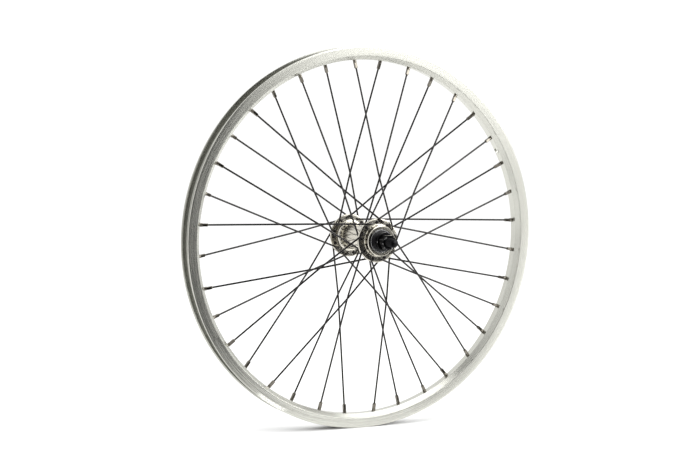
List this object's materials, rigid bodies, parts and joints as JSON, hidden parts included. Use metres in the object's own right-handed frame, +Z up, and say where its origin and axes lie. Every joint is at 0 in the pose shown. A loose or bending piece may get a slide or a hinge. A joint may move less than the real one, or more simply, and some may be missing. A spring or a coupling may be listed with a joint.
{
  "type": "bicycle wheel",
  "caption": "Spoked front bicycle wheel without tyre: alloy rim, laced steel spokes with nipples, sealed-bearing hub and nutted solid axle.",
  "frame": {"origin": "centre of the wheel, on the axle's axis and in the rim's centre plane", "axes": "+Y along the axle towards the far side, +Z up, +X to the right seen from the near side"},
  "size_m": [0.419, 0.145, 0.419],
  "materials": {
    "rim_alloy": "brushed and clear anodised",
    "hub_alloy": "polished",
    "spoke_steel": "drawn stainless wire",
    "nipple_plate": "nickel plated",
    "bearing_steel": "ground",
    "seal_rubber": "smooth black",
    "cage_plastic": "moulded",
    "axle_steel": "rolled thread, dark oiled",
    "plain_steel": "turned",
    "black_steel": "black, semi gloss"
  },
  "bodies": {
    "axle": {"inner_race_near": "bearing_steel", "inner_race_far": "bearing_steel", "axle": "axle_steel", "bearing_sleeve": "plain_steel", "spacer_near": "black_steel", "spacer_far": "black_steel", "washer_near": "black_steel", "washer_far": "black_steel", "axle_nut_near": "black_steel", "axle_nut_far": "black_steel"},
    "wheel": {"rim": "rim_alloy", "rim_joint_pins": "plain_steel", "hub_shell": "hub_alloy", "spokes_near_outer": "spoke_steel", "spokes_near_inner": "spoke_steel", "spokes_far_outer": "spoke_steel", "spokes_far_inner": "spoke_steel", "nipples_near": "nipple_plate", "nipples_far": "nipple_plate", "outer_race_near": "bearing_steel", "outer_race_far": "bearing_steel", "outer_seal_near": "seal_rubber", "outer_seal_far": "seal_rubber", "inner_seal_near": "seal_rubber", "inner_seal_far": "seal_rubber"},
    "ball_set_near": {"balls_near": "bearing_steel", "ball_cage_near": "cage_plastic"},
    "ball_set_far": {"balls_far": "bearing_steel", "ball_cage_far": "cage_plastic"}
  },
  "joints": [
    {"name": "wheel_spin", "type": "hinge", "parent": "axle", "child": "wheel", "pos_m": [0, 0, 0], "axis": [0, 1, 0], "continuous": true},
    {"name": "ball_set_near_spin", "type": "hinge", "parent": "axle", "child": "ball_set_near", "pos_m": [0, -0.039, 0], "axis": [0, 1, 0], "continuous": true},
    {"name": "ball_set_far_spin", "type": "hinge", "parent": "axle", "child": "ball_set_far", "pos_m": [0, 0.039, 0], "axis": [0, 1, 0], "continuous": true}
  ],
  "couplings": [
    {"joint": "ball_set_near_spin", "follows": "wheel_spin", "ratio": 0.6322},
    {"joint": "ball_set_far_spin", "follows": "wheel_spin", "ratio": 0.6322}
  ]
}
